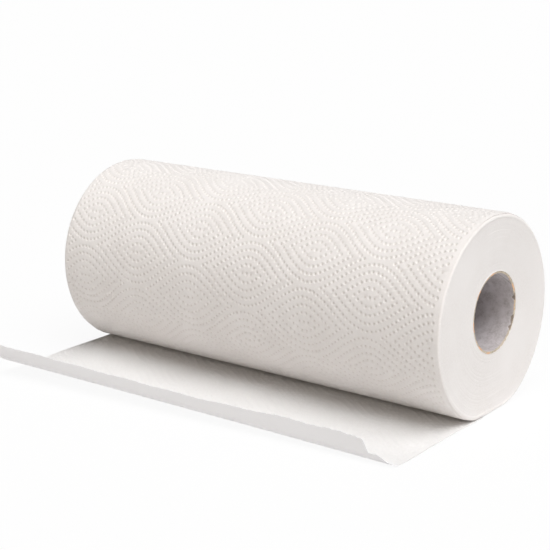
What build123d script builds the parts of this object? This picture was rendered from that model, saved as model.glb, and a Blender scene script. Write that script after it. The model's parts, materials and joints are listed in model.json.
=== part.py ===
from build123d import *
import math
import os

os.makedirs("parts", exist_ok=True)

# A kitchen towel roll that lies on its side, with the first sheet pulled out flat in front of it.
# X runs along the roll, and +X is the end whose core faces the viewer. The free sheet goes to -Y,
# and Z is up. The origin is on the table, under the middle of the roll.

# Paper web
web_width = 260.0
roll_diameter = 110.0
paper_thickness = 0.6

# The soft roll settles under its own weight: its underside is flat, and its middle is lower
settle = 3.0
flat_width = 20.0

# Ends of the roll: the outer turns bend in at the rim, and the turns show as one long spiral line
rim_bevel = 2.0
turns_shown = 6
turn_line_width = 0.7
turn_line_depth = 0.5
turn_margin = 3.0

# Cardboard core, which sits above the middle because the turns under it are looser
core_diameter = 43.5
core_wall = 1.25
core_rise = 3.0

# Free sheet: flat on the table, then rising to a crease, with a narrow lip that stands up
flat_reach = 74.0
crease_reach = 89.0
crease_radius = 4.0
corner_lift = 9.0
least_lift = 0.4
reach_for_lift = 2.0
lip_height = 8.6
lip_angle = 82.0
tear_start = 24.0
tear_width = 8.0
tear_height = 3.4

roll_radius = roll_diameter / 2
core_radius = core_diameter / 2
roll_height = roll_radius - settle
core_height = roll_height + core_rise
half_flat = flat_width / 2
half_web = web_width / 2


def roll_outline():
    """Draw the wound roll's section: a circle, a flat underside and an arc that blends them each side."""
    blend = roll_radius - settle / 2 - half_flat**2 / (2 * settle)
    slope = math.atan2(half_flat, roll_height - blend)
    touch_y = roll_radius * math.sin(slope)
    touch_z = roll_height - roll_radius * math.cos(slope)
    middle_y = half_flat + blend * math.sin(slope / 2)
    middle_z = blend - blend * math.cos(slope / 2)
    Line((-half_flat, 0), (half_flat, 0))
    ThreePointArc((half_flat, 0), (middle_y, middle_z), (touch_y, touch_z))
    ThreePointArc((touch_y, touch_z), (0, roll_height + roll_radius), (-touch_y, touch_z))
    ThreePointArc((-touch_y, touch_z), (-middle_y, middle_z), (-half_flat, 0))


def turn_line():
    """Draw the narrow spiral band of the turns, from the core outwards.

    Each edge of the band is a chain of half circles that meet, upright, on the vertical line through
    the core. The step at the bottom is larger than at the top, so the turns' middle drifts from the
    core's down to the roll's.
    """
    first = core_radius + turn_margin
    last = roll_radius - rim_bevel - turn_margin
    step_up = (last - first - core_rise) / turns_shown
    step_down = (last - first + core_rise) / turns_shown

    def band_edge(offset):
        top = core_height + first + offset
        for turn in range(turns_shown):
            bottom = core_height - first - offset - step_down * (turn + 0.5)
            ThreePointArc((0, top), ((top - bottom) / 2, (top + bottom) / 2), (0, bottom))
            top = core_height + first + offset + step_up * (turn + 1)
            ThreePointArc((0, bottom), ((bottom - top) / 2, (top + bottom) / 2), (0, top))
        return (0, core_height + first + offset), (0, top)

    inner_start, inner_end = band_edge(0)
    outer_start, outer_end = band_edge(turn_line_width)
    Line(inner_start, outer_start)
    Line(inner_end, outer_end)


def sheet_lift(x):
    """Height of the crease above the table, which grows from the +X corner to the -X corner."""
    share = (half_web - x) / web_width
    return least_lift + (corner_lift - least_lift) * share


def sheet_curl(x):
    """Draw the section of the sheet past its flat part: a rising arc, the crease and the lip."""
    lift = sheet_lift(x)
    run = crease_reach + reach_for_lift * lift - flat_reach
    rise_radius = (run**2 + lift**2) / (2 * lift)
    rise = math.asin(run / rise_radius)
    stand = math.radians(lip_angle)
    lip = lip_height - crease_radius * (math.cos(rise) - math.cos(stand))
    half_paper = paper_thickness / 2
    rise_centre = (-flat_reach, half_paper + rise_radius)
    crease_centre = (
        rise_centre[0] - (rise_radius - crease_radius) * math.sin(rise),
        rise_centre[1] - (rise_radius - crease_radius) * math.cos(rise),
    )

    def on_arc(centre, radius, angle):
        return (centre[0] - radius * math.sin(angle), centre[1] - radius * math.cos(angle))

    def face_of_paper(offset):
        start = on_arc(rise_centre, rise_radius + offset, 0)
        bend = on_arc(rise_centre, rise_radius + offset, rise)
        foot = on_arc(crease_centre, crease_radius + offset, stand)
        tip = (foot[0] - lip * math.cos(stand), foot[1] + lip * math.sin(stand))
        ThreePointArc(start, on_arc(rise_centre, rise_radius + offset, rise / 2), bend)
        ThreePointArc(bend, on_arc(crease_centre, crease_radius + offset, (rise + stand) / 2), foot)
        Line(foot, tip)
        return start, tip

    under_start, under_tip = face_of_paper(half_paper)
    upper_start, upper_tip = face_of_paper(-half_paper)
    Line(under_tip, upper_tip)
    Line(upper_start, under_start)


with BuildPart() as paper_web:
    # The wound turns, as one solid
    with BuildSketch(Plane.YZ):
        with BuildLine():
            roll_outline()
        make_face()
    extrude(amount=half_web, both=True)
    rims = [edge for end in paper_web.faces().filter_by(Axis.X) for edge in end.outer_wire().edges()]
    chamfer(rims, length=rim_bevel)
    with BuildSketch(Plane.YZ):
        with Locations((0, core_height)):
            Circle(core_radius)
    extrude(amount=half_web, both=True, mode=Mode.SUBTRACT)
    for end in (-1, 1):
        with BuildSketch(Plane.YZ.offset(end * half_web)):
            with BuildLine():
                turn_line()
            make_face()
        extrude(amount=-end * turn_line_depth, mode=Mode.SUBTRACT)
    # The outermost turn passes under the roll and goes on as the free sheet
    with BuildSketch(Plane.YZ):
        with BuildLine():
            Polyline(
                (half_flat, 0),
                (-flat_reach, 0),
                (-flat_reach, paper_thickness),
                (half_flat, paper_thickness),
                close=True,
            )
        make_face()
    extrude(amount=half_web, both=True)
    # The front of the sheet rises to its crease, further out and higher towards the -X corner
    for station in (-1, -0.5, 0, 0.5, 1):
        with BuildSketch(Plane.YZ.offset(station * half_web)):
            with BuildLine():
                sheet_curl(station * half_web)
            make_face()
    loft()
    # The lip is torn off short of the +X corner
    with BuildSketch(Plane.XZ.offset(flat_reach)):
        with BuildLine():
            Polyline(
                (half_web - tear_start, roll_height),
                (half_web - tear_start, least_lift + lip_height),
                (half_web - tear_start + tear_width, least_lift + tear_height),
                (half_web, least_lift + paper_thickness),
                (half_web + tear_width, least_lift + paper_thickness),
                (half_web + tear_width, roll_height),
                close=True,
            )
        make_face()
    extrude(amount=roll_radius, mode=Mode.SUBTRACT)

with BuildPart() as core_tube:
    with BuildSketch(Plane.YZ):
        with Locations((0, core_height)):
            Circle(core_radius)
            Circle(core_radius - core_wall, mode=Mode.SUBTRACT)
    extrude(amount=half_web, both=True)

paper_web.part.label = "paper_web"
core_tube.part.label = "core_tube"
export_step(paper_web.part, "parts/paper_web.step")
export_step(core_tube.part, "parts/core_tube.step")
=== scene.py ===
"""Looks of a kitchen towel roll that lies on its side with its first sheet pulled out.

Lengths are in millimetres until a mesh is made. X runs along the roll, the free sheet goes to -Y and
Z is up. The origin is on the table, under the middle of the roll. A place on the paper web is given
by two web coordinates: x across the web, and w along it. w is 0 where the free sheet leaves the
roll, grows round the roll (under it, up its back, over its top and down its front) and is negative
on the free sheet. Angles round the roll start straight down and grow towards the back.
"""

import json
import math

import bpy
import numpy as np
from mathutils import Matrix, Vector
from mathutils.geometry import delaunay_2d_cdt


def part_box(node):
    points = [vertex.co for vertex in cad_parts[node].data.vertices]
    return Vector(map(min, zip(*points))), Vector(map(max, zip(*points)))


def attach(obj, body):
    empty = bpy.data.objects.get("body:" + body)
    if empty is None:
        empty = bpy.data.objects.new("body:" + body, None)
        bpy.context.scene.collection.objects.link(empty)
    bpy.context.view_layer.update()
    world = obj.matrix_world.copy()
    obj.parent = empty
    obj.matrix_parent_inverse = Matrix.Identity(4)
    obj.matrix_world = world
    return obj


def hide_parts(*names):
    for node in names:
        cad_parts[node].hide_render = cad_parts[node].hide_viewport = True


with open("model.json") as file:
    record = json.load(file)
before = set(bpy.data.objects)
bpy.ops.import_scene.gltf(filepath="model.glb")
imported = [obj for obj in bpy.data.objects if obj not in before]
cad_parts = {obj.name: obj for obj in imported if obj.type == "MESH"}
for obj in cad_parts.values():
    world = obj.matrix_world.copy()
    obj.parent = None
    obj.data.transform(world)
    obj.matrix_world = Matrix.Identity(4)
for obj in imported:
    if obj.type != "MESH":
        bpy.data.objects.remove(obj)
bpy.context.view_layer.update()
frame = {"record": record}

MM = 0.001
SEED = 7

# Edges that bend by more than this are shaded sharp
body_crisp = math.radians(65)
pit_crisp = math.radians(31)
sheet_crisp = math.radians(20)

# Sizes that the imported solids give
web_high = np.array(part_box("paper_web")[1]) / MM
core_low, core_high = (np.array(corner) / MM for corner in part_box("core_tube"))
half_web = web_high[0]
roll_radius = web_high[1]
roll_height = web_high[2] - roll_radius
settle = roll_radius - roll_height
core_radius = core_high[1]
core_height = (core_low[2] + core_high[2]) / 2

# The roll's section, its outermost turn, which is as thick as its embossing is deep, and its rims,
# which flatten at the foot
half_flat = 10.0
flat_steps = 40
blend_steps = 200
circle_steps = 4000
paper = 0.9
inner_spacing = 6.0
foot_gap = 1.0
rim_radius = 2.4
rim_turn = math.radians(38)
foot_reach = 34.0
foot_bend = 0.3
foot_slope = (-13.0, -5.0)

# The wound turns on the roll's ends
turns = 55
rows_in_turn = 3
roll_columns = 220
turn_relief = 0.1
turn_shift = 0.08
turn_step = 0.35
end_wave = 0.25
calm_core = 0.01
calm_rim = (2.0, 3.0)

# Free sheet: its section
sheet_paper = 0.3
sheet_middle = 0.3
flat_reach = 74.0
flat_run = flat_reach - half_flat
crease_reach = 89.0
crease_radius = 4.0
corner_lift = 9.0
least_lift = 0.4
reach_for_lift = 2.0
lip_height = 8.4
lip_gain = 2.6
lip_growth = (0.0, 85.0)
lip_angle = math.radians(94)
lip_blend = 3.0
swell_height = 0.7
swell_rise = (6.0, 34.0)
swell_fall = (46.0, 66.0)
swell_across = 17.0
swell_along = 30.0

# Free sheet: its torn edge, whose fibres are waves given as height, count over x and start
tear_start = 18.5
tear_width = 5.0
tear_height = 4.7
tear_run = 2.5
tear_end = 0.3
tear_fibres = ((0.07, 2.1, 0), (0.08, 0.83, 1), (0.18, 0.19, 2))
fibre_growth = (30.0, 95.0)
lip_columns = 361
back_columns = 187

# Embossing: eyes on a staggered lattice, each with four rings of dots round a short middle row
eye_period = 80.0
row_gap = 19.4
ring_middle = 7.4
ring_swell = 9.98
ring_gap = 4.1
ring_samples = 2001
ring_dots = (26, 19, 13, 7)
ridge_dots = (22, 16, 10, 4)
wave_dots = 32
middle_dots = 3
middle_pitch = 2.88
pit_radius = 1.2
pit_sides = 8
pit_depth = 0.85
pit_edge_pressed = 0.2
shoulder_depth = 0.04
ridge_height = 0.04
ridge_clearance = 1.65
edge_spacing = 1.4
edge_margin = 1.6
point_tolerance = 1e-7
eye_x = 7.6
eye_angle = math.radians(180 + 72.6)

# The embossing fades out at the rims, is weaker on the single sheet, and fades at its foot and lip
rim_fade = (1.6, 3.2)
sheet_press = 0.65
foot_fade = (2.0, 14.0)
lip_fade = (-6.0, 2.0)
lip_press_lost = 0.85

# Perforation, one sheet's length behind the torn edge
perforation_w = 152.0
slit_width = 0.35
slit_length = 1.9
slit_pitch = 3.2

# Cardboard core: its waves are given as height, count over the first and over the second measure
core_wall = core_radius - frame["record"]["mounts"][0]["dims"]["r_mm"]
core_columns = 300
core_rows = 60
mouth_rows = 24
mouth_depth = 9.0
edge_rows = 7
end_inset = 0.3
cut_fibres = ((0.1, 37, 5), (0.07, 61, -9))
bore_waves = ((0.12, 2, 1 / 60), (0.05, 5, -1 / 25))
board_width = 78.0
seam_width = 0.45
peel_angle = (math.radians(56), math.radians(68), math.radians(100))
peel_spread = math.radians(6)
peel_reach = 1.7
peel_edge = (0.1, 0.7)
peel_ply = (0.3, 0.7)
peel_fibres = ((0.25, 23, 0), (0.2, 41, 1))
peel_depth = 0.5
least_cut = 0.1

# Colours of the paper and the board
roll_dark, roll_light = (0.82, 0.785, 0.765), (0.87, 0.84, 0.825)
sheet_dark, sheet_light = (0.88, 0.865, 0.86), (0.92, 0.91, 0.905)
sheet_glow = (0.97, 0.96, 0.95, 1)
# Painted shade at the bottom of each pit, partly the greyer tone of the pressed, bonded plies
pressed_tone_and_pit_shade = (0.68, 0.63, 0.6)
# Painted light: the lip is painted lighter and a little bluer than the rest of the sheet
lip_painted_light = (0.97, 0.965, 0.985)
# Painted shade in the slits of the perforation
slit_painted_shade = (0.3, 0.28, 0.27)
bore_dark, bore_light, bore_pale = (0.43, 0.395, 0.395), (0.58, 0.54, 0.55), (0.64, 0.6, 0.615)
seam_colour = (0.3, 0.27, 0.26)
cut_dark, cut_light, cut_orange = (0.5, 0.42, 0.33), (0.68, 0.6, 0.49), (0.8, 0.5, 0.3)
# Painted shade in the patches where the core's inner ply is peeled
peeled_painted_shade = (0.3, 0.25, 0.21)

# Surfaces: grains to a metre, depth of the finest relief in metres, gloss, and the share of light that
# a single sheet lets through
fibre_scale = 900
cloud_scale = 40
fuzz_scale = 2200
patch_scale = 160
paper_relief = 0.0001
board_relief = 0.0002
dull_gloss = 0.2
let_through = 0.12

# Table and light: the table's side is in metres, and directions point from the roll to the light
table_size = 12
table_albedo = 0.85
table_white_share = 0.93
sky_strength = 0.06
sun_spread = 50
key_from = (0.36, -0.06, 0.92)
key_strength = 2.95
front_from = (0.2, -0.9, 0.35)
front_strength = 0.58
front_colour = (1, 0.9, 0.77)
end_from = (1, 0, 0.1)
end_strength = 0.5

# Camera: its place and range are in metres
camera_azimuth = math.radians(38.34)
camera_elevation = math.radians(15.57)
camera_tilt = math.radians(-1.03)
camera_place = (0.5011, -0.6514, 0.2837)
camera_range = (0.01, 50)
film_width = 36
lens_length = 98.5


def smooth(low, high, value):
    """Smooth step: 0 below low, 1 above high, and 3t^2 - 2t^3 of the share t between them."""
    t = np.clip((value - low) / (high - low), 0, 1)
    return t * t * (3 - 2 * t)


def ripple(waves, first, second):
    """Sum of the waves height sin(a first + b second), each of them given as height, a and b."""
    return sum(height * np.sin(a * first + b * second) for height, a, b in waves)


def make_piece(name, points, triangles, quads, material, attributes=(), crisp=body_crisp):
    """Make a mesh object at the origin from points in mm and faces, and let it ride with the roll.

    Edges that bend by more than crisp are shaded sharp.
    """
    mesh = bpy.data.meshes.new(name)
    corners = np.concatenate([np.ravel(triangles), np.ravel(quads)]).astype(np.int32)
    sizes = np.repeat([3, 4], [len(triangles), len(quads)])
    mesh.vertices.add(len(points))
    mesh.vertices.foreach_set("co", (np.asarray(points) * MM).astype(np.float32).ravel())
    mesh.loops.add(len(corners))
    mesh.loops.foreach_set("vertex_index", corners)
    mesh.polygons.add(len(sizes))
    mesh.polygons.foreach_set("loop_start", (np.cumsum(sizes) - sizes).astype(np.int32))
    mesh.polygons.foreach_set("use_smooth", np.ones(len(sizes), bool))
    mesh.update(calc_edges=True)
    mesh.set_sharp_from_angle(angle=crisp)
    mesh.materials.append(material)
    for label, values in attributes:
        layer = mesh.attributes.new(label, "FLOAT", "POINT")
        layer.data.foreach_set("value", np.asarray(values, np.float32))
    piece = bpy.data.objects.new(name, mesh)
    bpy.context.scene.collection.objects.link(piece)
    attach(piece, "root")
    return piece


# The embossed pattern


def ring_line(offset, steps, ends):
    """Points at even arc length on the upper half of one ring, steps of them from end to end.

    The outermost ring is s = ring_middle + ring_swell cos(2 pi x / eye_period). The others lie
    offset inside it along its normal. The line ends where it meets s = 0, and its two end points are
    left out unless ends is true.
    """
    wave = 2 * math.pi / eye_period
    x = np.linspace(0, eye_period / 2, ring_samples)
    slope = -ring_swell * wave * np.sin(wave * x)
    length = np.hypot(slope, 1)
    line_x = x + offset * slope / length
    line_s = ring_middle + ring_swell * np.cos(wave * x) - offset / length
    kept = np.argmax(line_s < 0)
    line_x, line_s = line_x[:kept], line_s[:kept]
    along = np.concatenate([[0], np.cumsum(np.hypot(np.diff(line_x), np.diff(line_s)))])
    stations = np.linspace(-along[-1], along[-1], steps + 1)
    if not ends:
        stations = stations[1:-1]
    dots_x = np.sign(stations) * np.interp(np.abs(stations), along, line_x)
    return np.stack([dots_x, np.interp(np.abs(stations), along, line_s)], axis=1)


def eye_dots():
    """Dots of one eye: its rings, above and below the middle line, and its middle row."""
    upper, lower = (
        np.concatenate([ring_line(ring * ring_gap, dots, ends) for ring, dots in enumerate(ring_dots)])
        for ends in (True, False)
    )
    middle = (np.arange(middle_dots) - (middle_dots - 1) / 2) * middle_pitch
    middle = np.stack([middle, np.zeros(middle_dots)], axis=1)
    return np.concatenate([upper, lower * [1, -1], middle])


def eye_ridges():
    """Tops of the land between the rings of one eye, and of the wave between two rows of eyes."""
    inside = [ring_line((ring + 0.5) * ring_gap, dots, False) for ring, dots in enumerate(ridge_dots)]
    inside = np.concatenate(inside)
    x = (np.arange(wave_dots) + 0.5) / wave_dots * eye_period - eye_period / 2
    wave = row_gap / 2 + ring_swell * np.cos(2 * math.pi * x / eye_period)
    return np.concatenate([inside, inside * [1, -1], np.stack([x, wave], axis=1)])


def one_repeat():
    """Dots and ridge points of one repeat of the pattern: two eyes, half a period and a row apart."""
    stagger = np.array([eye_period / 2, row_gap])
    repeat = np.array([eye_period, 2 * row_gap])
    dots = np.concatenate([eye_dots(), eye_dots() + stagger])
    ridges = np.concatenate([eye_ridges(), eye_ridges() + stagger])
    around = np.array([(i, j) for i in (-1, 0, 1) for j in (-1, 0, 1)]) * repeat
    near_dots = (dots[None] + around[:, None]).reshape(-1, 2)
    distance = np.linalg.norm(ridges[:, None] - near_dots[None], axis=2).min(axis=1)
    return dots, ridges[distance > ridge_clearance], repeat


def spread(points, repeat, low, high):
    """Copies of one repeat's points all over the rectangle from low to high in web coordinates."""
    origin = np.array([eye_x, eye_w])
    first = np.floor((low - origin) / repeat).astype(int) - 1
    last = np.ceil((high - origin) / repeat).astype(int) + 1
    across, along = np.meshgrid(np.arange(first[0], last[0]), np.arange(first[1], last[1]))
    moves = np.stack([across.ravel(), along.ravel()], axis=1) * repeat + origin
    copies = (points[None] + moves[:, None]).reshape(-1, 2)
    return copies[np.all((copies > low) & (copies < high), axis=1)]


def whole(web):
    """True for every web point."""
    return np.ones(len(web), bool)


def embossed_sites(low, high, inside=whole):
    """Web points, heights and pressed shares of the points that form the embossing.

    Each dot is a pit: one point at its bottom and pit_sides points round its edge. The ridge points
    stand a little proud of the paper. inside says which dots and ridge points are on the sheet.
    """
    dots, ridges, repeat = one_repeat()
    dots = spread(dots, repeat, low, high)
    ridges = spread(ridges, repeat, low, high)
    dots, ridges = dots[inside(dots)], ridges[inside(ridges)]
    turn = np.arange(pit_sides) * 2 * math.pi / pit_sides
    edge = pit_radius * np.stack([np.cos(turn), np.sin(turn)], axis=1)
    edges = (dots[:, None] + edge[None]).reshape(-1, 2)
    counts = (len(dots), len(edges), len(ridges))
    height = np.repeat([-pit_depth, -shoulder_depth, ridge_height], counts)
    pressed = np.repeat([1.0, pit_edge_pressed, 0.0], counts)
    return np.concatenate([dots, edges, ridges]), height, pressed


# The web's path round the roll


def section_path():
    """The roll's section as a dense line from the point where the free sheet leaves it.

    It runs along the flat underside, up a blending arc, round the main circle over the top, and down
    a second blending arc. Returns its length and its y, z and outward normal.
    """
    blend = roll_radius - settle / 2 - half_flat**2 / (2 * settle)
    slope = math.atan2(half_flat, roll_height - blend)
    turn_in = np.linspace(0, slope, blend_steps)[1:]
    turn = np.linspace(slope, 2 * math.pi - slope, circle_steps)[1:]
    flat = np.linspace(-half_flat, half_flat, flat_steps)
    y_in = half_flat + blend * np.sin(turn_in)
    z_in = blend - blend * np.cos(turn_in)
    y_out = np.append(-y_in[::-1][1:], -half_flat)
    z_out = np.append(z_in[::-1][1:], 0)
    y = np.concatenate([flat, y_in, roll_radius * np.sin(turn), y_out])
    z = np.concatenate([0 * flat, z_in, roll_height - roll_radius * np.cos(turn), z_out])
    along = np.concatenate([[0], np.cumsum(np.hypot(np.diff(y), np.diff(z)))])
    tangent_y, tangent_z = np.gradient(y, along), np.gradient(z, along)
    size = np.hypot(tangent_y, tangent_z)
    return along, y, z, tangent_z / size, -tangent_y / size


path_w, path_y, path_z, path_ny, path_nz = section_path()
round_web = path_w[-1]
eye_w = round_web / 2 + half_flat + roll_radius * (eye_angle - math.pi)
sheet_top = sheet_middle + sheet_paper / 2 + ridge_height


def foot_share(w):
    """How near w is to the roll's foot: 1 where the turn meets the free sheet, 0 past foot_reach."""
    return 1 - smooth(0, foot_reach, np.minimum(w, round_web - w))


def turn_paper(w):
    """Thickness of the outermost turn, which thins to a single sheet at the foot."""
    return paper + (sheet_paper - paper) * foot_share(w)


def rim_bend(w):
    """Share of the full bend that the rim has at w: the roll's weight flattens it at the foot."""
    return 1 + (foot_bend - 1) * foot_share(w)


def roll_point(x, w, height):
    """Place a point of the outermost turn on the roll's section, height above its face.

    Past half_web - rim_radius, x runs along an arc that bends the web's edge in. The last stretch of
    the turn lies on the free sheet.
    """
    bend = rim_bend(w)
    radius = rim_radius / bend
    past = np.maximum(np.abs(x) - (half_web - rim_radius), 0) / radius
    straight = np.minimum(np.abs(x), half_web - rim_radius)
    place_x = np.sign(x) * (straight + (radius + height) * np.sin(past))
    out = (radius + height) * np.cos(past) - radius - ridge_height
    y = np.interp(w, path_w, path_y) + np.interp(w, path_w, path_ny) * out
    z = np.interp(w, path_w, path_z) + np.interp(w, path_w, path_nz) * out
    lying = np.maximum(z, sheet_top + ridge_height - height)
    return np.stack([place_x, y, np.where(w > round_web / 2, lying, z)], axis=1)


def web_triangles(web, border_count):
    """Counterclockwise triangles between web points, inside the border that their last ones form.

    A triangle of three border points lies inside where they follow each other along the border.
    """
    first = len(web) - border_count
    border = list(range(first, len(web)))
    points = [Vector(point) for point in web.tolist()]
    made = delaunay_2d_cdt(points, [], [border], 0, point_tolerance, False)
    if len(made[0]) != len(web):
        raise ValueError(f"web points fell together: {len(web)} became {len(made[0])}")
    faces = np.array(made[2])
    side, other = web[faces[:, 1]] - web[faces[:, 0]], web[faces[:, 2]] - web[faces[:, 0]]
    turned = side[:, 0] * other[:, 1] - side[:, 1] * other[:, 0] < 0
    faces[turned] = faces[turned][:, ::-1]
    following = np.sum(faces < np.roll(faces, -1, axis=1), axis=1) == 2
    return faces[following | np.any(faces < first, axis=1)]


def along_border(corners, spacing):
    """Points at even spacing along the closed polygon of corners, each corner among them."""
    runs = []
    for start, end in zip(corners, np.roll(corners, -1, axis=0)):
        steps = max(1, round(np.linalg.norm(end - start) / spacing))
        runs.append(start + (end - start) * np.arange(steps)[:, None] / steps)
    return np.concatenate(runs)


def paper_shell(name, outer, inner, border, place, thickness, material, crisp):
    """A closed sheet of paper: an outer face, an inner face and a narrow wall round the border.

    outer and inner are web points, heights and pressed shares inside the border, and place puts web
    points at a height into space. The inner face lies the paper's thickness at w below the outer one.
    Every point keeps its web coordinates as attributes.
    """
    count = len(border)
    faces, places, pressed, webs = [], [], [], []
    for side, (web, height, press) in enumerate((outer, inner)):
        web = np.concatenate([web, border])
        height = np.concatenate([height, np.zeros(count)]) - side * thickness(web[:, 1])
        webs.append(web)
        places.append(place(web[:, 0], web[:, 1], height))
        pressed.append(np.concatenate([press, np.zeros(count)]))
        faces.append(web_triangles(web, count))
    first = len(places[0])
    rim_out = np.arange(count) + first - count
    rim_in = rim_out + len(places[1])
    wall = np.stack([rim_out, np.roll(rim_out, -1), np.roll(rim_in, -1), rim_in], axis=1)
    triangles = np.concatenate([faces[0][:, ::-1], faces[1] + first])
    webs = np.concatenate(webs)
    standing = stands(webs[:, 0], webs[:, 1])
    attributes = [
        ("pressed", np.concatenate(pressed)),
        ("web_x", webs[:, 0]),
        ("web_w", webs[:, 1]),
        ("standing", standing),
    ]
    return make_piece(name, np.concatenate(places), triangles, wall, material, attributes, crisp)


def plain_sites(low, high, spacing):
    """A plain grid of web points inside a rectangle, for a face that nothing shows."""
    across = np.arange(low[0] + spacing, high[0] - spacing / 2, spacing)
    along = np.arange(low[1] + spacing, high[1] - spacing / 2, spacing)
    grid = np.stack(np.meshgrid(across, along), axis=-1).reshape(-1, 2)
    return grid, np.zeros(len(grid)), np.zeros(len(grid))


def make_outer_turn(material):
    """The outermost turn: embossed outside, plain inside, with its edges bent in at the rims."""
    reach = half_web - rim_radius + rim_radius * rim_turn
    low, high = np.array([-reach, 0.0]), np.array([reach, round_web - foot_gap])
    border = along_border(np.array([low, (high[0], low[1]), high, (low[0], high[1])]), edge_spacing)
    web, height, pressed = embossed_sites(low + edge_margin, high - edge_margin)
    fade = smooth(*rim_fade, half_web - np.abs(web[:, 0])) * turn_paper(web[:, 1]) / paper
    outer = (web, height * fade, pressed * fade)
    inner = plain_sites(low, high, inner_spacing)
    return paper_shell("outer_turn", outer, inner, border, roll_point, turn_paper, material, pit_crisp)


# The wound turns with their ends


def outline_at(angle):
    """Distance from the roll's middle to its outline at the given angles, and w there."""
    around = np.unwrap(np.arctan2(path_y, roll_height - path_z))
    distance = np.hypot(path_y, roll_height - path_z)
    turned = np.mod(angle - around[0], 2 * math.pi) + around[0]
    return np.interp(turned, around, distance), np.interp(turned, around, path_w)


def without_folds(quads):
    """Quads whose side edges may have no length, as triangles and quads that all have an area."""
    left = quads[:, 0] == quads[:, 3]
    right = quads[:, 1] == quads[:, 2]
    triangles = np.concatenate([quads[left & ~right][:, :3], quads[~left & right][:, [0, 1, 3]]])
    return triangles, quads[~left & ~right]


def wound_face(angle, share):
    """The y and z of a wound turn's edge, the x of the roll's face there, and its inset from outside.

    The edge lies at the given share of the way from the core's outside to the inside of the outermost
    turn, which rises on to the free sheet at the foot. The face is flat up to rim_radius from the
    outside, and then falls off as a circle of that radius. Under the outermost turn's edge the circle
    is smaller by that turn's thickness, and it grows back over turn_step.
    """
    outline, w = outline_at(angle)
    under_turn = turn_paper(w)
    body = outline - under_turn
    core_y, core_z = core_radius * np.sin(angle), core_height - core_radius * np.cos(angle)
    out_y, out_z = body * np.sin(angle), roll_height - body * np.cos(angle)
    lying_top = sheet_top + ridge_height + sheet_paper
    out_z = np.maximum(out_z, lying_top + (sheet_paper - lying_top) * smooth(*foot_slope, out_y))
    inset = under_turn + np.hypot(out_y - core_y, out_z - core_z) * (1 - share)
    rim_inset = rim_radius * (1 - math.cos(rim_turn))
    under = under_turn * (1 - smooth(rim_inset, rim_inset + turn_step, inset))
    rise = (rim_radius - under) ** 2 - np.maximum(rim_radius - inset, 0) ** 2
    face = half_web - (rim_radius - np.sqrt(np.maximum(rise, 0))) * rim_bend(w)
    return core_y + (out_y - core_y) * share, core_z + (out_z - core_z) * share, face, inset


def make_wound_turns(material):
    """The turns under the outermost one, as one closed body with the winding on both its ends.

    At angle t, row k lies (k / rows_in_turn - t / 2 pi) / turns of the way from the core to the
    outline, so that the rows follow the paper. Rows past the core or the outline are folded on to
    it. Each turn's edge stands a little further out or in than its neighbours', with a groove
    between them, the whole face is slightly wavy, and it rounds over at the rim.
    """
    rows = (turns + 1) * rows_in_turn + 1
    row = np.arange(rows)[:, None]
    turned = np.arange(roll_columns)[None] / roll_columns
    angle = 2 * math.pi * turned
    share = (row / rows_in_turn - turned) / turns
    first = np.sum(share <= 0, axis=0) - 1
    last = rows - np.sum(share >= 1, axis=0)
    index = np.clip(row, first, last) * roll_columns + np.arange(roll_columns)
    share = np.clip(share, 0, 1)

    y, z, face, inset = wound_face(angle, share)
    rng = np.random.default_rng(SEED)
    places, triangles, quads = [], [], []
    for end in (1, -1):
        own = rng.uniform(0, turn_shift, turns + 2)
        turn = row // rows_in_turn
        shift = own[turn] * (1 - turned) + own[np.maximum(turn - 1, 0)] * turned
        groove = np.where(row % rows_in_turn == 0, turn_relief, 0)
        wave = end_wave * (0.5 + 0.25 * np.sin(2 * angle + end) + 0.25 * np.sin(3 * angle - 4 * share))
        drop = (shift + groove + wave) * smooth(0, calm_core, share) * smooth(*calm_rim, inset)
        places.append(np.stack([end * (face - drop), y, z], axis=-1).reshape(-1, 3))
        beside = np.roll(index, -1, axis=1)
        beside[:, -1] = index[np.maximum(np.arange(rows) - rows_in_turn, 0), 0]
        cells = np.stack([index[:-1], beside[:-1], beside[1:], index[1:]], axis=-1).reshape(-1, 4)
        if end == 1:
            cells = cells[:, [3, 2, 1, 0]]
        else:
            cells = cells + rows * roll_columns
        made = without_folds(cells)
        triangles.append(made[0])
        quads.append(made[1])
    columns = np.arange(roll_columns)
    for edge, flip in ((last, True), (first, False)):
        near = edge * roll_columns + columns
        far = near + rows * roll_columns
        strip = np.stack([near, np.roll(near, -1), np.roll(far, -1), far], axis=1)
        quads.append(strip[:, ::-1] if flip else strip)
    points = np.concatenate(places)
    triangles, quads = np.concatenate(triangles), np.concatenate(quads)
    used = np.unique(np.concatenate([triangles.ravel(), quads.ravel()]))
    number = np.zeros(len(points), int)
    number[used] = np.arange(len(used))
    return make_piece("wound_turns", points[used], number[triangles], number[quads], material)


# The free sheet


def lift_at(x):
    """Height of the crease above the table, which grows from the +X corner to the -X corner."""
    return least_lift + (corner_lift - least_lift) * (half_web - x) / (2 * half_web)


def rise_at(x):
    """Radius and turn of the arc in which the sheet rises from its flat part to the crease."""
    lift = lift_at(x)
    run = crease_reach + reach_for_lift * lift - flat_reach
    radius = (run**2 + lift**2) / (2 * lift)
    return radius, np.arcsin(run / radius)


def crease_at(x):
    """Length of the sheet at x from where it leaves the roll to its crease: flat part and arc."""
    radius, rise = rise_at(x)
    return flat_run + radius * rise


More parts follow.
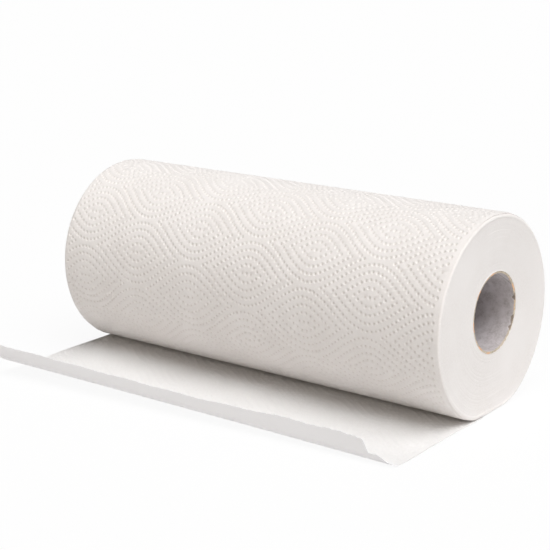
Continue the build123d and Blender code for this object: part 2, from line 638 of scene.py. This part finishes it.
def lip_at(x):
    """Height of the lip above the crease, which grows along the web and is torn off near +X.

    Its torn edge is slightly ragged: its fibres are twice as high towards the tear, and half as high
    at the corner past it.
    """
    torn = half_web - tear_start
    full = lip_height + lip_gain * smooth(*lip_growth, x)
    rest = tear_height + (tear_end - tear_height) * smooth(torn + tear_width + tear_run, half_web + 1, x)
    fibres = ripple(tear_fibres, x, 1)
    fibres = fibres * (1 + smooth(*fibre_growth, x)) * (1 - smooth(torn, half_web, x) / 2)
    return np.maximum(full + (rest - full) * smooth(torn, torn + tear_width, x) + fibres, tear_end)


def stands(x, w):
    """1 on the lip, which stands free of the table, and 0 on the rest of the web."""
    return smooth(-lip_blend, lip_blend, -w - crease_at(x))


def sheet_length(x):
    """Length of the sheet at x, from where it leaves the roll to the edge of its lip.

    It is the flat part, the rising arc, and as much of the crease's arc and the straight lip as the
    lip's height needs.
    """
    rise = rise_at(x)[1]
    height = lip_at(x)
    bend_height = crease_radius * (np.cos(rise) - math.cos(lip_angle))
    end = np.arccos(np.clip(np.cos(rise) - height / crease_radius, math.cos(lip_angle), 1))
    straight = np.maximum(height - bend_height, 0) / math.sin(lip_angle)
    return crease_at(x) + crease_radius * (end - rise) + straight


def sheet_thickness(w):
    """Thickness of the free sheet, which is the same all along w."""
    return np.full(len(w), sheet_paper)


def sheet_point(x, w, height):
    """Place a point of the free sheet: flat, then a rising arc, the crease's arc and the lip.

    Its flat part swells a little off the table in shallow waves. The outer face of the web is the
    sheet's underside, so height counts down from the table side.
    """
    radius, rise = rise_at(x)
    out = -w
    past = np.clip((out - flat_run) / radius, 0, rise)
    bend = np.clip((out - flat_run - radius * rise) / crease_radius, 0, lip_angle - rise)
    lip = np.maximum(out - flat_run - radius * rise - crease_radius * (lip_angle - rise), 0)
    angle = past + bend
    y = -half_flat - np.minimum(out, flat_run) - radius * np.sin(past)
    y = y - crease_radius * (np.sin(angle) - np.sin(past)) - lip * math.cos(lip_angle)
    z = sheet_middle + radius * (1 - np.cos(past)) + crease_radius * (np.cos(past) - np.cos(angle))
    z = z + lip * math.sin(lip_angle)
    swell = swell_height * smooth(*swell_rise, out) * (1 - smooth(*swell_fall, out))
    z = z + swell * (1 + np.sin(x / swell_across + out / swell_along)) / 2
    above = height + sheet_paper / 2
    return np.stack([x, y - above * np.sin(angle), z - above * np.cos(angle)], axis=1)


def make_free_sheet(material):
    """The free sheet, embossed right through, with its curled front edge and its torn lip."""
    x = np.linspace(-half_web, half_web, lip_columns)
    lip_edge = np.stack([x, -sheet_length(x)], axis=1)
    sides = [(half_web, 0.0), (-half_web, 0.0)]
    right = along_border(np.array([lip_edge[-1], sides[0]]), edge_spacing)
    right = right[: np.argmax(right[:, 1]) + 1]
    back = np.linspace(sides[0], sides[1], back_columns)[1:-1]
    left_end = lip_edge[0]
    steps = round(-left_end[1] / edge_spacing)
    left = np.array(sides[1]) + (left_end - sides[1]) * np.arange(steps)[:, None] / steps
    border = np.concatenate([lip_edge[:-1], right, back, left])

    def inside(web):
        """Clear of the torn edge and of the foot."""
        return (web[:, 1] > edge_margin - sheet_length(web[:, 0])) & (web[:, 1] < -edge_margin)

    low = np.array([-half_web, lip_edge[:, 1].min()])
    high = np.array([half_web, 0.0])
    web, height, pressed = embossed_sites(low + edge_margin, high - edge_margin, inside)
    past_crease = -web[:, 1] - crease_at(web[:, 0])
    press = sheet_press * smooth(*foot_fade, -web[:, 1])
    press = press * (1 - lip_press_lost * smooth(*lip_fade, past_crease))
    sites = (web, press * height, press * pressed)
    sheet = paper_shell(
        "free_sheet", sites, sites, border, sheet_point, sheet_thickness, material, sheet_crisp
    )
    return sheet


# The cardboard core


def make_core(material):
    """The cardboard tube: its section goes once round through the bore, both cut ends and outside.

    The cut ends are a little fibrous and the bore is slightly out of true. At the +X mouth the
    innermost ply is peeled away in small ragged patches. The cut attribute grows from least_cut to 1
    with the depth into the board on the cut ends, and is 0 in the bore. The peeled attribute is 1 in
    the patches.
    """
    inner = core_radius - core_wall
    cut = np.linspace(0, 1, edge_rows)
    near = (half_web - mouth_depth) / half_web
    bore = np.concatenate([np.linspace(-1, near, core_rows)[1:], np.linspace(near, 1, mouth_rows)[1:-1]])
    station = np.concatenate([np.ones(edge_rows), -np.ones(edge_rows), bore])[:, None]
    depth = np.concatenate([cut, cut[::-1], np.zeros(len(bore))])[:, None]
    angle = np.arange(core_columns)[None] / core_columns * 2 * math.pi
    on_cut = np.concatenate([np.ones(2 * edge_rows), np.zeros(len(bore))])[:, None]
    x = station * (half_web - end_inset + on_cut * ripple(cut_fibres, angle, depth))

    ragged = 1 + ripple(peel_fibres, angle, 1)
    reach = sum(peel_reach * ragged * np.exp(-(((angle - a) / peel_spread) ** 2)) for a in peel_angle)
    peeled = smooth(*peel_edge, reach - (half_web - x)) * (1 - smooth(*peel_ply, depth))
    out_of_true = ripple(bore_waves, angle, x)
    radius = inner + core_wall * depth + out_of_true * (1 - depth) + peel_depth * peeled
    y = radius * np.sin(angle)
    z = core_height - radius * np.cos(angle)
    points = np.stack([x, y, z], axis=-1).reshape(-1, 3)
    rows = len(station)
    index = np.arange(rows * core_columns).reshape(rows, core_columns)
    over, beside = np.roll(index, -1, axis=0), np.roll(index, -1, axis=1)
    quads = np.stack([index, over, np.roll(over, -1, axis=1), beside], axis=-1).reshape(-1, 4)
    on_board = np.broadcast_to(on_cut * (least_cut + (1 - least_cut) * depth), x.shape)
    attributes = [("cut", on_board.ravel()), ("peeled", peeled.ravel())]
    return make_piece("core_board_tube", points, np.zeros((0, 3), int), quads, material, attributes)


# Materials


def new_material(name):
    """A material with its nodes, its links and its Principled shader."""
    material = bpy.data.materials.new(name)
    material.use_nodes = True
    nodes, links = material.node_tree.nodes, material.node_tree.links
    return material, nodes, links, nodes["Principled BSDF"]


def attribute(nodes, label):
    """What the piece's points carry under a label."""
    node = nodes.new("ShaderNodeAttribute")
    node.attribute_name = label
    return node.outputs["Fac"]


def noise(nodes, links, vector, scale, detail=2.0, roughness=0.5):
    """Cloudy grain of the given scale."""
    node = nodes.new("ShaderNodeTexNoise")
    node.inputs["Scale"].default_value = scale
    node.inputs["Detail"].default_value = detail
    node.inputs["Roughness"].default_value = roughness
    links.new(vector, node.inputs["Vector"])
    return node.outputs["Fac"]


def math_node(nodes, links, operation, first, second):
    """Output of a Math node whose two inputs are sockets or plain values."""
    node = nodes.new("ShaderNodeMath")
    node.operation = operation
    for socket, value in zip(node.inputs, (first, second)):
        if hasattr(value, "links"):
            links.new(value, socket)
        else:
            socket.default_value = value
    return node.outputs["Value"]


def mixed(nodes, links, factor, low, high, first, second):
    """Colour between first and second as factor goes from low to high."""
    ramp = nodes.new("ShaderNodeMapRange")
    ramp.inputs["From Min"].default_value = low
    ramp.inputs["From Max"].default_value = high
    links.new(factor, ramp.inputs["Value"])
    mix = nodes.new("ShaderNodeMix")
    mix.data_type = "RGBA"
    links.new(ramp.outputs["Result"], mix.inputs["Factor"])
    for socket, value in (("A", first), ("B", second)):
        target = [i for i in mix.inputs if i.name == socket and i.type == "RGBA"][0]
        if hasattr(value, "links"):
            links.new(value, target)
        else:
            target.default_value = (*value, 1)
    return [o for o in mix.outputs if o.type == "RGBA"][0]


def add_relief(nodes, links, shader, height, strength, depth):
    """Give a shader fine relief that is too small for the mesh, depth metres deep."""
    bump = nodes.new("ShaderNodeBump")
    bump.inputs["Strength"].default_value = strength
    bump.inputs["Distance"].default_value = depth
    links.new(height, bump.inputs["Height"])
    links.new(bump.outputs["Normal"], shader.inputs["Normal"])


def perforation(nodes, links):
    """1 on the short slits of the line along which the next sheet tears off, else 0."""
    on_line = math_node(nodes, links, "COMPARE", attribute(nodes, "web_w"), perforation_w)
    on_line.node.inputs[2].default_value = slit_width / 2
    in_slit = math_node(nodes, links, "PINGPONG", attribute(nodes, "web_x"), slit_pitch / 2)
    in_slit = math_node(nodes, links, "LESS_THAN", in_slit, slit_length / 2)
    return math_node(nodes, links, "MULTIPLY", on_line, in_slit)


def towel_paper(name, dark, light, single):
    """White tissue with fine fibres and cloudy patches. The bottom of each pressed dot is darker:
    painted shade, partly the greyer tone of the pressed plies. The lip is painted lighter and a little
    bluer, which is painted light, and the slits of the perforation are painted dark as painted shade.

    A single sheet lets a little light through.
    """
    material, nodes, links, shader = new_material(name)
    place = nodes.new("ShaderNodeTexCoord").outputs["Object"]
    fibres = noise(nodes, links, place, fibre_scale, 4, 0.6)
    clouds = noise(nodes, links, place, cloud_scale, 2)
    colour = mixed(nodes, links, fibres, 0.3, 0.7, dark, light)
    colour = mixed(nodes, links, clouds, 0.35, 0.65, colour, light)
    # Painted shade at the bottom of each pit, partly the greyer tone of the pressed plies
    colour = mixed(nodes, links, attribute(nodes, "pressed"), 0.5, 1, colour, pressed_tone_and_pit_shade)
    # Painted light: the lip is painted lighter and a little bluer than the rest of the sheet
    colour = mixed(nodes, links, attribute(nodes, "standing"), 0, 1, colour, lip_painted_light)
    # Painted shade in the slits of the perforation
    colour = mixed(nodes, links, perforation(nodes, links), 0, 1, colour, slit_painted_shade)
    links.new(colour, shader.inputs["Base Color"])
    shader.inputs["Roughness"].default_value = 0.9
    shader.inputs["Specular IOR Level"].default_value = dull_gloss
    add_relief(nodes, links, shader, noise(nodes, links, place, fuzz_scale, 3), 0.35, paper_relief)
    if single:
        glow = nodes.new("ShaderNodeBsdfTranslucent")
        glow.inputs["Color"].default_value = sheet_glow
        join = nodes.new("ShaderNodeMixShader")
        join.inputs["Fac"].default_value = let_through
        links.new(shader.outputs["BSDF"], join.inputs[1])
        links.new(glow.outputs["BSDF"], join.inputs[2])
        links.new(join.outputs["Shader"], nodes["Material Output"].inputs["Surface"])
    return material


def core_board():
    """Recycled board: mottled purplish grey in the bore, tan on the cut ends, with a spiral seam.
    The patches where the inner ply is peeled are painted dark brown: painted shade in these recesses.

    The seam lies where x / board_width plus the share of the turn round the tube is a whole number.
    """
    material, nodes, links, shader = new_material("core_board")
    place = nodes.new("ShaderNodeTexCoord").outputs["Object"]
    flecks = noise(nodes, links, place, fibre_scale, 4, 0.7)
    patches = noise(nodes, links, place, patch_scale, 3, 0.6)
    bore = mixed(nodes, links, flecks, 0.35, 0.65, bore_dark, bore_light)
    bore = mixed(nodes, links, patches, 0.4, 0.62, bore, bore_pale)
    axes = nodes.new("ShaderNodeSeparateXYZ")
    links.new(place, axes.inputs["Vector"])
    below = math_node(nodes, links, "SUBTRACT", core_height * MM, axes.outputs["Z"])
    turn = math_node(nodes, links, "ARCTAN2", axes.outputs["Y"], below)
    turn = math_node(nodes, links, "DIVIDE", turn, 2 * math.pi)
    along = math_node(nodes, links, "DIVIDE", axes.outputs["X"], board_width * MM)
    phase = math_node(nodes, links, "PINGPONG", math_node(nodes, links, "ADD", turn, along), 0.5)
    bore = mixed(nodes, links, phase, 0, seam_width / board_width, seam_colour, bore)
    tan = mixed(nodes, links, flecks, 0.35, 0.65, cut_dark, cut_light)
    tan = mixed(nodes, links, patches, 0.52, 0.62, tan, cut_orange)
    colour = mixed(nodes, links, attribute(nodes, "cut"), 0, least_cut, bore, tan)
    # Painted shade in the patches where the core's inner ply is peeled
    colour = mixed(nodes, links, attribute(nodes, "peeled"), 0.2, 0.8, colour, peeled_painted_shade)
    links.new(colour, shader.inputs["Base Color"])
    shader.inputs["Roughness"].default_value = 0.85
    shader.inputs["Specular IOR Level"].default_value = dull_gloss
    add_relief(nodes, links, shader, flecks, 0.5, board_relief)
    return material


# Table, light and camera


def white_to_camera(nodes, links, shader, share, target):
    """Join a shader with plain white that only the camera sees, to the given share of the whole."""
    white = nodes.new("ShaderNodeEmission")
    white.inputs["Strength"].default_value = 1
    camera_ray = nodes.new("ShaderNodeLightPath").outputs["Is Camera Ray"]
    join = nodes.new("ShaderNodeMixShader")
    links.new(math_node(nodes, links, "MULTIPLY", camera_ray, share), join.inputs["Fac"])
    links.new(shader, join.inputs[1])
    links.new(white.outputs["Emission"], join.inputs[2])
    links.new(join.outputs["Shader"], target)


def make_stage():
    """A wide white table top, a dim sky, and soft lights from above, the front and the right."""
    scene = bpy.context.scene
    bpy.ops.mesh.primitive_plane_add(size=table_size)
    table = bpy.context.object
    table.name = "table_top"
    material, nodes, links, shader = new_material("table_white")
    shader.inputs["Base Color"].default_value = (table_albedo, table_albedo, table_albedo, 1)
    shader.inputs["Roughness"].default_value = 1
    shader.inputs["Specular IOR Level"].default_value = 0
    surface = nodes["Material Output"].inputs["Surface"]
    white_to_camera(nodes, links, shader.outputs["BSDF"], table_white_share, surface)
    table.data.materials.append(material)
    world = bpy.data.worlds.new("sky")
    scene.world = world
    world.use_nodes = True
    nodes, links = world.node_tree.nodes, world.node_tree.links
    sky = nodes["Background"]
    sky.inputs["Color"].default_value = (1, 1, 1, 1)
    sky.inputs["Strength"].default_value = sky_strength
    surface = nodes["World Output"].inputs["Surface"]
    white_to_camera(nodes, links, sky.outputs["Background"], 1, surface)
    add_sun("key_light", key_from, key_strength, (1, 1, 1))
    add_sun("front_light", front_from, front_strength, front_colour)
    add_sun("end_light", end_from, end_strength, (1, 1, 1))
    scene.view_settings.view_transform = "Standard"


def add_sun(name, direction, strength, colour):
    """Even light from a direction, spread wide so that its shadows are soft."""
    data = bpy.data.lights.new(name, "SUN")
    data.energy = strength
    data.angle = math.radians(sun_spread)
    data.color = colour
    lamp = bpy.data.objects.new(name, data)
    lamp.rotation_euler = Vector(direction).to_track_quat("Z", "Y").to_euler()
    bpy.context.scene.collection.objects.link(lamp)


def make_camera():
    """A long lens, a little above the roll and to the right of its middle."""
    back = Vector((
        math.sin(camera_azimuth) * math.cos(camera_elevation),
        -math.cos(camera_azimuth) * math.cos(camera_elevation),
        math.sin(camera_elevation),
    ))
    level = (-back).cross(Vector((0, 0, 1))).normalized()
    upright = level.cross(-back)
    right = level * math.cos(camera_tilt) + upright * math.sin(camera_tilt)
    up = upright * math.cos(camera_tilt) - level * math.sin(camera_tilt)
    turned = Matrix((right, up, back)).transposed().to_4x4()
    data = bpy.data.cameras.new("camera")
    data.sensor_width = film_width
    data.lens = lens_length
    data.clip_start, data.clip_end = camera_range
    camera = bpy.data.objects.new("camera", data)
    camera.matrix_world = Matrix.Translation(camera_place) @ turned
    bpy.context.scene.collection.objects.link(camera)
    bpy.context.scene.camera = camera


make_camera()
make_stage()
roll_paper = towel_paper("towel_paper", roll_dark, roll_light, single=False)
turns_piece = make_wound_turns(roll_paper)
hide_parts("paper_web")
sheet_piece = make_free_sheet(towel_paper("single_sheet", sheet_dark, sheet_light, single=True))
for piece in (turns_piece, make_outer_turn(roll_paper), sheet_piece):
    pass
core_piece = make_core(core_board())
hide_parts("core_tube")
